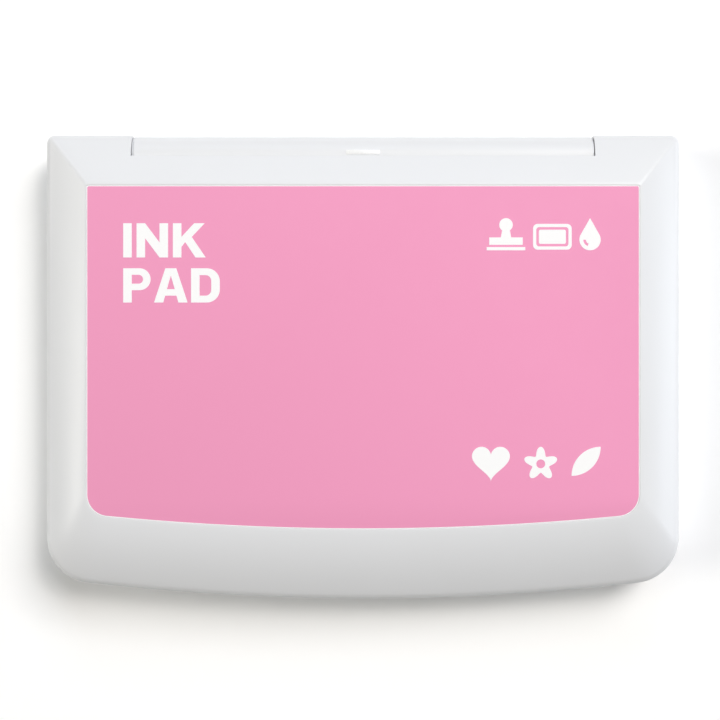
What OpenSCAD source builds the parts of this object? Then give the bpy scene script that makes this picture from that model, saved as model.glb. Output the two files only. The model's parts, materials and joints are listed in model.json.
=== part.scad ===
// A flat ink pad for hand stamps: a hinged case, a slot-in pad cartridge and its soft layers.
// The front faces -Y, the hinge lies along the rear, and the feet stand on z = 0.

/* [Case] */
// Overall width of the closed case
case_w = 116; // [96:1:140]
// Overall depth of the closed case
case_d = 85; // [70:1:104]
// Overall height of the closed case, feet included
case_h = 19; // [16:0.5:24]
// Height of the base's flat deck, where the lid meets the base
deck_z = 9.5; // [8:0.5:12]
// Radius of the bowed front edge
front_arc_r = 440; // [300:10:900]
// Radius of the two front corners
front_corner_r = 8.5; // [6.5:0.5:12]
// Radius of the two rear corners
rear_corner_r = 1.5; // [1.3:0.1:2.5]
// How far the lid overhangs the base at the front and sides
overhang = 0.6; // [0.3:0.1:1]
// Thickness of the base's outer wall
base_wall = 1.7; // [1.4:0.1:2.2]

/* [Lid] */
// Thickness of the lid's side walls
lid_wall = 1.6; // [1.3:0.1:2]
// Thickness of the lid's top, label recess left out
lid_top = 1.8; // [1.5:0.1:2.4]
// Distance from the case's side to the label
label_side = 8; // [6:0.5:11]
// Distance from the case's rear edge to the label
label_back = 9.65; // [9:0.05:12]
// Distance from the bowed front edge to the label
label_front = 13.25; // [10:0.25:17]
// Radius of the label's bowed front edge
label_arc_r = 477; // [300:1:900]
// Radius of the label's front corners
label_corner_r = 4; // [2:0.5:6]
// Thickness of the label
label_t = 0.3; // [0.1:0.05:0.5]
// Width of the flat rim round the label
rim_w = 0.8; // [0.5:0.1:1.5]

/* [Hinge] */
// Radius of the base's hinge knuckle
knuckle_r = 3.45; // [2.8:0.05:4.2]
// Length of each lid ear, from the case's side inwards
ear_w = 15.65; // [13:0.05:20]
// How much larger the lid ears are than the knuckle, in radius
ear_extra = 0.85; // [0.6:0.05:1]
// Gap between a lid ear and the knuckle's end
slit = 0.45; // [0.3:0.05:0.7]
// Diameter of the hinge pins
pin_d = 2.5; // [1.8:0.1:3]

/* [Pad] */
// Distance from the case's side to the inked surface
pad_side = 13; // [12:0.5:16]
// Distance from the case's front to the inked surface
pad_front = 18.5; // [17:0.5:22]
// Distance from the case's rear to the inked surface
pad_back = 16.5; // [16:0.5:20]
// Height of the inked surface above the deck
pad_rise = 3.6; // [3:0.1:4]
// Thickness of the woven cover
fabric_t = 0.4; // [0.2:0.05:0.6]

/* [Feet] */
// Diameter of the foot discs
foot_d = 9.2; // [7:0.1:11.2]
// How far the feet stand below the base
foot_h = 0.8; // [0.5:0.1:1.2]

/* [Hidden] */

$fn = 64;
cut = 0.01;   // how far a cutting tool runs past the face that it opens
reach = 5;    // how far a tool runs out past the case

// Steps along the outline's arcs
rear_steps = 4;
corner_steps = 14;
bow_steps = 24;

// Lid
parting = 0.2;
lid_z = deck_z + parting;
edge_w = 1.1;
edge_z = case_h - 3.5;
skirt_z = case_h - 5.1;
bevel_bulge = 0.3;
ceiling_z = case_h - lid_top;
inner_skirt_z = case_h - 5.4;
label_sink = 0.05;
recess_depth = label_t + label_sink;
label_gap = 0.1;
label_rear_r = 0.3;

// Hinge, about an axis along X
base_rear = case_d / 2 - 0.15;
axis_y = base_rear - knuckle_r;
knuckle_drop = 2.75;
axis_z = case_h - knuckle_drop - knuckle_r;
ear_r = knuckle_r + ear_extra;
hinge_gap = 0.25;
lip_y = axis_y - 0.4;
knuckle_half = case_w / 2 - ear_w - slit;
knuckle_wall = 1.75;
pin_in_base = 4;
pin_in_ear = 3.95;
ear_boss = 4.25;
ear_pocket_r = 2.3;
pin_running_gap = 0.05;
mark_w = 6.2;
mark_h = 0.12;

// Base
bottom_edge_r = 1;
deck_t = 1.5;
rib_t = 1.2;
finger_w = 36;
finger_depth = 1.2;
finger_r = 5;
rim_gap = 0.25;
rim_t = 1.2;
rim_h = 1.8;
rim_end_gap = 0.35;
rim_end_y = axis_y - ear_r - hinge_gap - rim_end_gap;
rib_step_x = 23;
rib_step_y = 25;
nib_w = 12;
nib_r = 0.5;
nib_out = 0.2;
nib_gap = 0.2;

// Cartridge: a tray with a flange, the reservoir, the foam, the cover and the clamping frame
pad_w = case_w - 2 * pad_side;
pad_d = case_d - pad_front - pad_back;
pad_y = (pad_front - pad_back) / 2;
pad_corner_r = 2.4;
tray_side = 3;
tray_wall = 1.8;
tray_floor_z = 2.8;
tray_floor_t = 1.3;
tray_corner_r = 3;
flange_out = 2;
flange_t = 1;
well_gap = 0.3;
well_wall = 1.5;
felt_gap = 0.2;
felt_top_z = deck_z - 0.8;
hem_out = 3.5;
frame_out = 4.3;
frame_gap = 0.5;
frame_t = 1.4;
flange_top_z = deck_z + flange_t;
pad_top_z = deck_z + pad_rise;

// Feet and the label beneath
foot_recess = 1;
foot_gap = 0.1;
foot_boss_wall = 0.9;
foot_core_r = 2.6;
foot_core_z = 4.5;
foot_side = foot_d / 2 + 7.4;
foot_front = foot_d / 2 + 4.4;
foot_back = foot_d / 2 + 3.4;
FEET = [
    ["foot_front_left", -1, foot_front - case_d / 2],
    ["foot_front_right", 1, foot_front - case_d / 2],
    ["foot_rear_left", -1, case_d / 2 - foot_back],
    ["foot_rear_right", 1, case_d / 2 - foot_back]
];
under_label_t = 0.2;
under_label_in = 8;
under_recess = 0.4;

function arc_points(centre, r, from, to, steps) = [
    for (i = [0:steps])
        let (a = from + (to - from) * i / steps)
            centre + r * [cos(a), sin(a)]
];

// Closed outline with a bowed front: straight rear and sides, and rounded corners that meet the bow smoothly
function bowed_outline(half_w, rear, front, arc_r, front_r, rear_r) =
    let (
        arc_y = front + arc_r,
        corner_x = half_w - front_r,
        corner_y = arc_y - sqrt(pow(arc_r - front_r, 2) - pow(corner_x, 2)),
        turn = atan2(corner_y - arc_y, corner_x),
        bow = arc_points([0, arc_y], arc_r, turn, -180 - turn, bow_steps)
    )
    concat(
        arc_points([half_w - rear_r, rear - rear_r], rear_r, 90, 0, rear_steps),
        arc_points([corner_x, corner_y], front_r, 0, turn, corner_steps),
        [for (i = [1:bow_steps - 1]) bow[i]],
        arc_points([-corner_x, corner_y], front_r, -180 - turn, -180, corner_steps),
        arc_points([rear_r - half_w, rear - rear_r], rear_r, 180, 90, rear_steps)
    );

function lid_outline(inset) = bowed_outline(
    case_w / 2 - inset, case_d / 2 - inset, inset - case_d / 2,
    front_arc_r - inset, max(front_corner_r - inset, 1), max(rear_corner_r - inset, 0.3)
);

function base_outline(inset) = bowed_outline(
    case_w / 2 - overhang - inset, base_rear - inset, overhang + inset - case_d / 2,
    front_arc_r - overhang - inset, max(front_corner_r - overhang - inset, 1),
    max(rear_corner_r - inset, 0.3)
);

function label_outline(grow) = bowed_outline(
    case_w / 2 - label_side + grow, case_d / 2 - label_back + grow,
    label_front - case_d / 2 - grow,
    label_arc_r + grow, label_corner_r + grow, label_rear_r + max(grow, 0)
);

function at_height(outline, z) = [for (p = outline) [p.x, p.y, z]];

function between(a, b, u) = [for (i = [0:len(a) - 1]) a[i] + u * (b[i] - a[i])];

// Height of the lid's bevel, from its outer edge at u = 0 to the rim at u = 1
function bevel_height(u) =
    edge_z + (case_h - edge_z) * ((1 + bevel_bulge) * u - bevel_bulge * u * u);

// Inset and height along the rounded edge between the skirt and the bevel
function edge_inset(t) = edge_w * t * t;
function edge_height(t) =
    skirt_z * pow(1 - t, 2) + 2 * t * (1 - t) * (edge_z - 0.5) + edge_z * t * t;

// Solid through a stack of outlines that all have the same number of points
module loft(rings) {
    n = len(rings[0]);
    polyhedron(
        points = [for (ring = rings) each ring],
        faces = concat(
            [[for (i = [n - 1:-1:0]) i]],
            [[for (i = [0:n - 1]) (len(rings) - 1) * n + i]],
            [
                for (j = [0:len(rings) - 2], i = [0:n - 1])
                    let (a = j * n + i, b = j * n + (i + 1) % n)
                        each [[a, b, b + n], [a, b + n, a + n]]
            ]
        )
    );
}

module rounded_rect(w, d, r) {
    square([w - 2 * r, d], center = true);
    square([w, d - 2 * r], center = true);
    for (x = [-1, 1], y = [-1, 1])
        translate([x * (w / 2 - r), y * (d / 2 - r)])
            circle(r);
}

// Plate in the cartridge's own centre line, between two heights
module pad_plate(w, d, r, z0, z1) {
    translate([0, pad_y, z0])
        linear_extrude(z1 - z0)
            rounded_rect(w, d, r);
}

// Cylinder along X about the hinge axis
module axle(r, x0, x1) {
    translate([x0, axis_y, axis_z])
        rotate([0, 90, 0])
            cylinder(h = x1 - x0, r = r);
}

// The same shape on both sides
module both_sides() {
    children();
    mirror([1, 0, 0])
        children();
}

module block(x0, x1, y0, y1, z0, z1) {
    translate([x0, y0, z0])
        cube([x1 - x0, y1 - y0, z1 - z0]);
}

module lid_ears() {
    both_sides()
        axle(ear_r, knuckle_half + slit, case_w / 2 + reach);
}

// Outer form of the lid, carried down to the foot of the ears
module lid_form() {
    edge = lid_outline(edge_w);
    rim = label_outline(rim_w);
    loft(concat(
        [at_height(lid_outline(0), axis_z - ear_r - cut)],
        [for (t = [0:0.25:1]) at_height(lid_outline(edge_inset(t)), edge_height(t))],
        [for (u = [0.2:0.2:1]) at_height(between(edge, rim, u), bevel_height(u))]
    ));
}

module lid_cavity() {
    loft([
        at_height(lid_outline(lid_wall), axis_z - ear_r - reach),
        at_height(lid_outline(lid_wall), inner_skirt_z),
        at_height(label_outline(rim_w), ceiling_z)
    ]);
}

// Everything below the skirt, and behind and below the axis, that is not an ear
module below_skirt() {
    difference() {
        union() {
            block(-case_w, case_w, -case_d, case_d, axis_z - ear_r - reach, lid_z);
            block(-case_w, case_w, axis_y, case_d, axis_z - ear_r - reach, axis_z);
        }
        lid_ears();
    }
}

// Room behind each ear's boss, from which its pin is slid home
module ear_pocket() {
    axle(ear_pocket_r, knuckle_half + slit + ear_boss, case_w / 2 - lid_wall);
    block(
        knuckle_half + slit + ear_boss, case_w / 2 - lid_wall,
        axis_y - ear_r - 1, axis_y,
        axis_z - ear_pocket_r, axis_z + ear_pocket_r
    );
}

module catch_bar(r, w) {
    translate([-w / 2, lid_wall + rim_gap - case_d / 2 + nib_r - nib_out, deck_z + rim_h - 2 * nib_r])
        rotate([0, 90, 0])
            cylinder(h = w, r = r);
}

module lid_shell() {
    ear_in = knuckle_half + slit;
    color("white")
        difference() {
            lid_form();
            difference() {
                lid_cavity();
                lid_ears();
            }
            below_skirt();
            block(-ear_in, ear_in, lip_y, case_d, 0, case_h);
            axle(knuckle_r + hinge_gap, -ear_in, ear_in);
            both_sides() {
                ear_pocket();
                axle(pin_d / 2 + pin_running_gap, ear_in - cut, ear_in + ear_boss + cut);
            }
            catch_bar(nib_r + nib_gap, nib_w + 1);
            translate([0, 0, case_h - recess_depth])
                linear_extrude(recess_depth + cut)
                    polygon(label_outline(label_gap));
        }
}

module lid_label() {
    color("hotpink")
        translate([0, 0, case_h - recess_depth])
            linear_extrude(label_t)
                polygon(label_outline(0));
}

// Outer form of the base, rounded along its bottom edge
module base_form() {
    loft(concat(
        [
            for (a = [0:30:90])
                at_height(base_outline(bottom_edge_r * (1 - sin(a))), foot_h + bottom_edge_r * (1 - cos(a)))
        ],
        [at_height(base_outline(0), deck_z)]
    ));
}

module knuckle() {
    axle(knuckle_r, -knuckle_half, knuckle_half);
    block(-knuckle_half, knuckle_half, axis_y - knuckle_r, base_rear, deck_z - deck_t, axis_z);
    intersection() {
        axle(knuckle_r + mark_h, -mark_w / 2, mark_w / 2);
        block(-mark_w / 2, mark_w / 2, axis_y + 0.1, axis_y + 0.9, axis_z, case_h);
    }
}

// Upstand that the lid's skirt drops over, round the front and the sides
module locating_rim() {
    difference() {
        translate([0, 0, deck_z - deck_t / 2])
            linear_extrude(rim_h + deck_t / 2)
                difference() {
                    polygon(lid_outline(lid_wall + rim_gap));
                    polygon(lid_outline(lid_wall + rim_gap + rim_t));
                }
        block(-case_w, case_w, rim_end_y, case_d, 0, case_h);
    }
    catch_bar(nib_r, nib_w);
}

module foot_bosses(r) {
    for (f = FEET)
        translate([f[1] * (case_w / 2 - foot_side), f[2]])
            circle(r);
}

// Stiffening ribs between the outer wall and the well
module ribs() {
    for (i = [-1:1])
        translate([i * rib_step_x, 0])
            square([rib_t, 2 * case_d], center = true);
    for (i = [-0.5, 0.5])
        translate([0, pad_y + i * rib_step_y])
            square([2 * case_w, rib_t], center = true);
}

// Hollow beneath the deck, open at the bottom
module underside_cavity() {
    difference() {
        translate([0, 0, foot_h - cut])
            linear_extrude(deck_z - deck_t - foot_h + cut)
                difference() {
                    polygon(base_outline(base_wall));
                    translate([0, pad_y])
                        rounded_rect(
                            pad_w + 2 * (tray_side + well_gap + well_wall),
                            pad_d + 2 * (tray_side + well_gap + well_wall),
                            tray_corner_r + well_gap + well_wall
                        );
                    foot_bosses(foot_d / 2 + foot_gap + foot_boss_wall);
                    ribs();
                    translate([0, overhang + finger_depth + base_wall - case_d / 2 - reach])
                        square([finger_w + 2 * base_wall, 2 * reach], center = true);
                }
        both_sides()
            block(
                knuckle_half - base_wall, case_w,
                axis_y - ear_r - hinge_gap - base_wall, case_d,
                axis_z - ear_r - hinge_gap - base_wall, case_h
            );
    }
}

// Hollow inside the knuckle, open at the bottom
module knuckle_core() {
    half = knuckle_half - pin_in_base - knuckle_wall;
    r = knuckle_r - knuckle_wall;
    axle(r, -half, half);
    block(-half, half, axis_y - r, axis_y + r, foot_h - cut, axis_z);
}

module base_shell() {
    color("white")
        difference() {
            union() {
                base_form();
                knuckle();
                locating_rim();
            }
            underside_cavity();
            knuckle_core();
            pad_plate(
                pad_w + 2 * (tray_side + well_gap), pad_d + 2 * (tray_side + well_gap),
                tray_corner_r + well_gap, tray_floor_z, case_h
            );
            both_sides() {
                axle(ear_r + hinge_gap, knuckle_half, case_w / 2 + reach);
                axle(pin_d / 2, knuckle_half - pin_in_base, knuckle_half + cut);
            }
            for (f = FEET)
                translate([f[1] * (case_w / 2 - foot_side), f[2], foot_h - cut]) {
                    cylinder(h = foot_recess + cut, r = foot_d / 2 + foot_gap);
                    cylinder(h = foot_core_z - foot_h, r = foot_core_r);
                }
            translate([-finger_w / 2, overhang + finger_depth - finger_r - case_d / 2, deck_z])
                rotate([0, 90, 0])
                    cylinder(h = finger_w, r = finger_r);
            pad_plate(
                pad_w - 2 * (under_label_in - 1), pad_d - 2 * (under_label_in - 1), 3,
                foot_h - cut, foot_h + under_recess
            );
        }
}

module underside_label() {
    color("ghostwhite")
        pad_plate(
            pad_w - 2 * under_label_in, pad_d - 2 * under_label_in, 2,
            foot_h + under_recess - under_label_t, foot_h + under_recess
        );
}

module insert_tray() {
    color("whitesmoke")
        difference() {
            union() {
                pad_plate(
                    pad_w + 2 * tray_side, pad_d + 2 * tray_side, tray_corner_r,
                    tray_floor_z, flange_top_z
                );
                pad_plate(
                    pad_w + 2 * (tray_side + flange_out), pad_d + 2 * (tray_side + flange_out),
                    tray_corner_r + flange_out, deck_z, flange_top_z
                );
            }
            pad_plate(
                pad_w + 2 * (tray_side - tray_wall), pad_d + 2 * (tray_side - tray_wall),
                tray_corner_r - 0.6, tray_floor_z + tray_floor_t, case_h
            );
        }
}

module reservoir_felt() {
    color("pink")
        pad_plate(
            pad_w + 2 * (tray_side - tray_wall - felt_gap),
            pad_d + 2 * (tray_side - tray_wall - felt_gap),
            pad_corner_r, tray_floor_z + tray_floor_t, felt_top_z
        );
}

module ink_foam() {
    color("lightpink")
        pad_plate(
            pad_w - 2 * fabric_t, pad_d - 2 * fabric_t, pad_corner_r - fabric_t,
            felt_top_z, pad_top_z - fabric_t
        );
}

// Woven cover: flat on top, down the foam's sides, and out as a hem under the frame
module pad_fabric() {
    color("palevioletred")
        difference() {
            union() {
                pad_plate(pad_w, pad_d, pad_corner_r, flange_top_z, pad_top_z);
                pad_plate(
                    pad_w + 2 * hem_out, pad_d + 2 * hem_out, pad_corner_r + hem_out,
                    flange_top_z, flange_top_z + fabric_t
                );
            }
            pad_plate(
                pad_w - 2 * fabric_t, pad_d - 2 * fabric_t, pad_corner_r - fabric_t,
                flange_top_z - cut, pad_top_z - fabric_t
            );
        }
}

module pad_frame() {
    color("white")
        difference() {
            pad_plate(
                pad_w + 2 * frame_out, pad_d + 2 * frame_out, pad_corner_r + frame_out,
                flange_top_z + fabric_t, flange_top_z + fabric_t + frame_t
            );
            pad_plate(
                pad_w + 2 * frame_gap, pad_d + 2 * frame_gap, pad_corner_r + frame_gap,
                flange_top_z, case_h
            );
        }
}

module hinge_pin() {
    color("silver")
        axle(pin_d / 2, knuckle_half - pin_in_base, knuckle_half + slit + pin_in_ear);
}

module foot(f) {
    color("dimgray")
        translate([f[1] * (case_w / 2 - foot_side), f[2], 0])
            cylinder(h = foot_h + foot_recess, r = foot_d / 2);
}

base_shell();
lid_shell();
lid_label();
underside_label();
insert_tray();
reservoir_felt();
ink_foam();
pad_fabric();
pad_frame();
mirror([1, 0, 0]) hinge_pin();  // hinge_pin_left
hinge_pin();  // hinge_pin_right
for (f = FEET)
    foot(f);
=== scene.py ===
"""A flat hinged ink pad, closed, with a label in its lid and a cloth-covered pad cartridge inside.

Every shape is worked out in metres in the frame's own axes: the bowed front faces -Y and +Z is up.
"""

import json
import math

import bmesh
import bpy
import mathutils
import numpy as np
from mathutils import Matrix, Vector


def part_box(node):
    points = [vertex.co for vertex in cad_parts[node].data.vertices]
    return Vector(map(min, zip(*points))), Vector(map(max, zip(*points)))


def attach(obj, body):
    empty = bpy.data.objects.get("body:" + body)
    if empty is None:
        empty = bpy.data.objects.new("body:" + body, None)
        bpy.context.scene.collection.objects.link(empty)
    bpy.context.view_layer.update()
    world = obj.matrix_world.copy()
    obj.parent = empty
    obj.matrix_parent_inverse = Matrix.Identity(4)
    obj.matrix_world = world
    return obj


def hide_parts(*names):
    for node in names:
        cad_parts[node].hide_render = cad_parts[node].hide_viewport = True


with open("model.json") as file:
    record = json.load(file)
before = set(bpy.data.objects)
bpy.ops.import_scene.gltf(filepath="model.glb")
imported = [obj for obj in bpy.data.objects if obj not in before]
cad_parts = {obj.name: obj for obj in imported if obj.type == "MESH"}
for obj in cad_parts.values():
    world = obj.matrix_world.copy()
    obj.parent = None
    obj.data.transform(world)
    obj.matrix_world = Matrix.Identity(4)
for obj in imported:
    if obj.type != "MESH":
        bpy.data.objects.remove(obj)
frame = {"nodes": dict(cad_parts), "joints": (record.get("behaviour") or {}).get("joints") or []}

bl_info = {
    "name": "Ink pad",
    "version": (1, 0, 0),
    "blender": (4, 5, 0),
    "location": "View3D > Sidebar > Ink pad",
    "description": "Builds the looks of a hinged ink pad round its frame",
    "category": "Add Mesh",
}

MM = 0.001

# Steps along the stretches of an outline
REAR_CORNER_STEPS = 8
SIDE_STEPS = 12
FRONT_CORNER_STEPS = 28
BOW_STEPS = 40
REAR_EDGE_STEPS = 14
LATHE_STEPS = 48  # round a turned piece

# Where the frame puts the pieces
HINGE = frame["joints"][0]["pos_m"]
LID_LOW, LID_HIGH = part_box("lid_shell")
LABEL_LOW, LABEL_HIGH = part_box("lid_label")
TRAY_LOW, TRAY_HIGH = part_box("insert_tray")
COVER_LOW, COVER_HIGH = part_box("pad_fabric")
FOAM_LOW, FOAM_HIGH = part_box("ink_foam")
PIN_LOW, PIN_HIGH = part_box("hinge_pin_right")
CASE_W = LID_HIGH.x - LID_LOW.x
CASE_D = LID_HIGH.y - LID_LOW.y
TOP_Z = LID_HIGH.z
MIDDLE_Y = (TRAY_HIGH.y + TRAY_LOW.y) / 2  # the cartridge's middle, front to back
DECK_Z = TRAY_HIGH.z - 1 * MM  # the base's deck, on which the tray's 1 mm flange rests

REACH = 20 * MM  # how far a cutting tool runs out past the case
OVERLAP = 0.01 * MM  # keeps two cuts from ending on the same face
SHARP_CORNER = 0.3 * MM  # radius of a corner that looks sharp


# ---------------------------------------------------------------- settings


def length(name, text, default):
    """A length in metres that a user may change."""
    return bpy.props.FloatProperty(
        name=name, description=text, default=default, min=0.0, precision=5, unit="LENGTH"
    )


def number(name, text, default):
    """A plain number that a user may change."""
    return bpy.props.FloatProperty(name=name, description=text, default=default)


def colour(name, text, default):
    """A colour written as an sRGB hex value."""
    return bpy.props.StringProperty(name=name, description=text, default=default)


class InkPadLidSettings(bpy.types.PropertyGroup):
    wall: length("Wall", "Thickness of the lid's side walls", 1.6 * MM)
    top: length("Top", "Thickness of the lid's top", 1.8 * MM)
    edge: length("Edge", "Width of the rounded edge between skirt and bevel", 1.1 * MM)
    edge_drop: length("Edge drop", "Height from the bevel's outer edge to the rim", 3.5 * MM)
    skirt_drop: length("Skirt drop", "Height from the skirt's top to the rim", 5.1 * MM)
    rim: length("Rim", "Width of the flat rim round the label", 0.3 * MM)
    recess: length("Recess", "Depth of the label's recess", 0.35 * MM)
    label_gap: length("Label gap", "How far the recess runs past the label all round", 0.1 * MM)
    ear: length("Ear", "Length of each hinge ear", 15.65 * MM)
    ear_radius: length("Ear radius", "Radius of the ears about the hinge axis", 4.3 * MM)
    knuckle_clear: length("Knuckle clearance", "Radius that the lid leaves round the knuckle", 3.7 * MM)
    lip: length("Lip", "How far the lid's lip lies in front of the hinge axis", 0.4 * MM)
    front_arc: length("Front arc", "Radius of the bowed front edge", 440 * MM)
    front_corner: length("Front corner", "Radius of the front corners", 8.5 * MM)
    rear_corner: length("Rear corner", "Radius of the rear corners", 1.5 * MM)
    bulge_rear: number("Rear bulge", "How much the rear bevel is crowned", 0.03)
    bulge_side: number("Side bulge", "How much the side bevels are crowned", 0.3)
    bulge_front: number("Front bulge", "How much the front bevel is crowned", 0.8)


class InkPadLabelSettings(bpy.types.PropertyGroup):
    front_arc: length("Front arc", "Radius of the label's bowed front edge", 477 * MM)
    corner: length("Corner", "Radius of the label's front corners", 4 * MM)
    cap_height: length("Letter height", "Height of the printed letters", 6.2 * MM)
    # The white border is the stock's own colour, and also a painted highlight round the label's edge.
    border: length("Border", "Width of the white border that the tint leaves", 0.18 * MM)
    ink: length("Ink", "Thickness of the printed ink", 0.03 * MM)
    film_colour: colour("Film colour", "Colour of the label's film", "#F39CC2")
    print_colour: colour("Print colour", "Colour of the printed ink", "#FFFFFF")


class InkPadCaseSettings(bpy.types.PropertyGroup):
    plastic: colour("Plastic", "Colour of the moulded case", "#E6E7E9")
    tray: colour("Tray", "Colour of the cartridge's tray", "#D8D8DA")
    knuckle: length("Knuckle", "Length of the base's hinge knuckle", 83.8 * MM)
    knuckle_radius: length("Knuckle radius", "Radius of the base's hinge knuckle", 3.45 * MM)
    collar_drop: length("Collar drop", "How far the collars at the knuckle's ends lie below it", 0.35 * MM)
    edge_round: length("Edge rounding", "Rounding of the moulded edges", 0.12 * MM)


class InkPadCushionSettings(bpy.types.PropertyGroup):
    cloth: length("Cloth", "Thickness of the woven cover", 0.4 * MM)
    thread: length("Thread spacing", "Distance from one thread to the next", 0.42 * MM)
    crown: length("Crown", "How far the pad's middle stands above its edges", 0.35 * MM)
    edge: length("Edge", "Radius that the cover turns down the foam's side on", 1.1 * MM)
    colour: colour("Ink", "Colour of the inked cloth", "#DE6F9C")


class InkPadStageSettings(bpy.types.PropertyGroup):
    camera_height: length("Camera height", "Height of the camera above the lid", 330 * MM)
    camera_x: number("Camera X", "Sideways place of the camera, in metres", -0.55 * MM)
    camera_y: number("Camera Y", "Front to back place of the camera, in metres", 1.3 * MM)
    lens: number("Lens", "Focal length in millimetres on a 36 mm sensor", 91.2)
    floor_glow: number("Floor glow", "Light that comes up through the floor, as on a light table", 0.07)
    ambient: number("Ambient", "Strength of the light from all round", 0.0)


# ---------------------------------------------------------------- curves and surfaces


def arc(centre, radius, start, stop, steps):
    """Points at equal angles, in degrees, along a circle's arc."""
    turn = np.radians(np.linspace(start, stop, steps + 1))
    return np.asarray(centre) + radius * np.column_stack((np.cos(turn), np.sin(turn)))


def line(start, stop, steps):
    """Points evenly spaced from start to stop, both ends left out."""
    share = np.linspace(0, 1, steps + 1)[1:-1, None]
    return np.asarray(start) * (1 - share) + np.asarray(stop) * share


def bowed_outline(half_w, rear, front, arc_r, front_r, rear_r):
    """A closed plan outline, clockwise from above. Its right half is a rear corner's arc, a straight side,
    a front corner's arc that is tangent to the side and to the bow, and half of the bow, whose centre lies
    on the middle line one bow radius behind the front. The left half is its mirror image."""
    bow_y = front + arc_r
    corner_x = half_w - front_r
    corner_y = bow_y - math.sqrt((arc_r - front_r) ** 2 - corner_x**2)
    turn = math.degrees(math.atan2(corner_y - bow_y, corner_x))
    rear_arc = arc((half_w - rear_r, rear - rear_r), rear_r, 90, 0, REAR_CORNER_STEPS)
    front_arc = arc((corner_x, corner_y), front_r, 0, turn, FRONT_CORNER_STEPS)
    half = np.vstack((
        line((0, rear), rear_arc[0], REAR_EDGE_STEPS),
        rear_arc,
        line(rear_arc[-1], front_arc[0], SIDE_STEPS),
        front_arc,
        arc((0, bow_y), arc_r, turn, -90, BOW_STEPS)[1:],
    ))
    return np.vstack((half, half[-2::-1] * (-1, 1)))


def rounded_outline(half_w, half_d, radius, centre_y, steps=12):
    """A closed rectangle with rounded corners, clockwise from above."""
    corners = ((1, 1, 90), (1, -1, 0), (-1, -1, -90), (-1, 1, -180))
    return np.vstack([
        arc((sx * (half_w - radius), centre_y + sy * (half_d - radius)), radius, start, start - 90, steps)
        for sx, sy, start in corners
    ])


def level(outline, height):
    """An outline in plan at a height, which is one number or one for each point."""
    return np.column_stack((outline, np.broadcast_to(height, len(outline))))


def show(name, data):
    """A new object in the scene with this mesh, curve, light or camera as its data."""
    item = bpy.data.objects.new(name, data)
    bpy.context.scene.collection.objects.link(item)
    return item


def mesh_piece(name, points, faces, uv=None):
    """A new object whose mesh has these points and faces, and a map of flat cloth coordinates if given."""
    mesh = bpy.data.meshes.new(name)
    mesh.from_pydata(np.asarray(points).tolist(), [], faces)
    if uv is not None:
        corner = np.empty(len(mesh.loops), np.int32)
        mesh.loops.foreach_get("vertex_index", corner)
        mesh.uv_layers.new(name="cloth").data.foreach_set("uv", np.asarray(uv)[corner].ravel())
    mesh.update()
    return show(name, mesh)


def quads(rows, columns, wrap_rows=False, wrap_columns=True):
    """Corner numbers of the four-sided faces between neighbouring points of a grid held row by row."""
    row = np.arange(rows if wrap_rows else rows - 1)[:, None]
    column = np.arange(columns if wrap_columns else columns - 1)[None, :]
    next_row = (row + 1) % rows
    next_column = (column + 1) % columns
    corners = (
        row * columns + column, row * columns + next_column,
        next_row * columns + next_column, next_row * columns + column,
    )
    return np.stack(corners, axis=-1).reshape(-1, 4).tolist()


def loft(name, rings, closed=False):
    """The surface through a stack of like rings, each clockwise from above and the lowest first. Each point
    is joined to its neighbours round the ring and to the same point of the next ring. The surface ends in a
    flat face at each end, or joins up with itself if closed."""
    rings = np.asarray(rings)
    rows, columns = rings.shape[:2]
    faces = [corners[::-1] for corners in quads(rows, columns, wrap_rows=closed)]
    if not closed:
        faces.append(list(range(columns)))
        faces.append(list(range((rows - 1) * columns, rows * columns))[::-1])
    return mesh_piece(name, rings.reshape(-1, 3), faces)


def prism(name, profile, x0, x1):
    """A profile in the YZ plane, counter-clockwise as seen from +X, carried straight along X."""
    profile = np.asarray(profile)
    ends = [np.column_stack((np.full(len(profile), x), profile)) for x in (x0, x1)]
    return loft(name, ends[::-1])


def lathe_rings(radii, heights):
    """Rings of a turned shape about the Z axis, clockwise from above."""
    circle = arc((0, 0), 1, 0, -360, LATHE_STEPS)[:-1]
    return np.array([level(circle * r, z) for r, z in zip(radii, heights, strict=True)])


def joined(name, parts):
    """One object from several, which are used up."""
    points, faces, first = [], [], 0
    for part in parts:
        points += [tuple(v.co) for v in part.data.vertices]
        faces += [[first + i for i in p.vertices] for p in part.data.polygons]
        first += len(part.data.vertices)
        bpy.data.objects.remove(part)
    return mesh_piece(name, points, faces)


def prism_pair(name, profile, inner, outer):
    """A prism that runs from inner to outer at the right, and its mirror image at the left, as one object."""
    return joined(name, [prism(name, profile, -outer, -inner), prism(name, profile, inner, outer)])


def carve(piece, *tools, operation="DIFFERENCE"):
    """Cuts each tool out of a piece in turn, or joins it on, and uses the tools up."""
    for tool in tools:
        cut = piece.modifiers.new(tool.name, "BOOLEAN")
        cut.operation = operation
        cut.solver = "EXACT"
        cut.object = tool
    bpy.context.view_layer.update()
    evaluated = piece.evaluated_get(bpy.context.evaluated_depsgraph_get())
    result = bpy.data.meshes.new_from_object(evaluated)
    piece.modifiers.clear()
    piece.data = result
    for tool in tools:
        bpy.data.objects.remove(tool)
    return piece


def soften(piece, width):
    """Rounds a piece's hard edges a little, as a moulding's are."""
    edge = piece.modifiers.new("edges", "BEVEL")
    edge.width = width
    edge.segments = 2
    edge.limit_method = "ANGLE"
    edge.angle_limit = math.radians(40)
    edge.harden_normals = True


def weld(mesh, flat_angle=None):
    """Joins a mesh's coincident points, and makes its flat faces whole if an angle is given."""
    work = bmesh.new()
    work.from_mesh(mesh)
    bmesh.ops.remove_doubles(work, verts=work.verts, dist=0.001 * MM)
    if flat_angle:
        bmesh.ops.dissolve_limit(
            work, angle_limit=math.radians(flat_angle), verts=work.verts, edges=work.edges
        )
    work.to_mesh(mesh)
    work.free()


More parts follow.
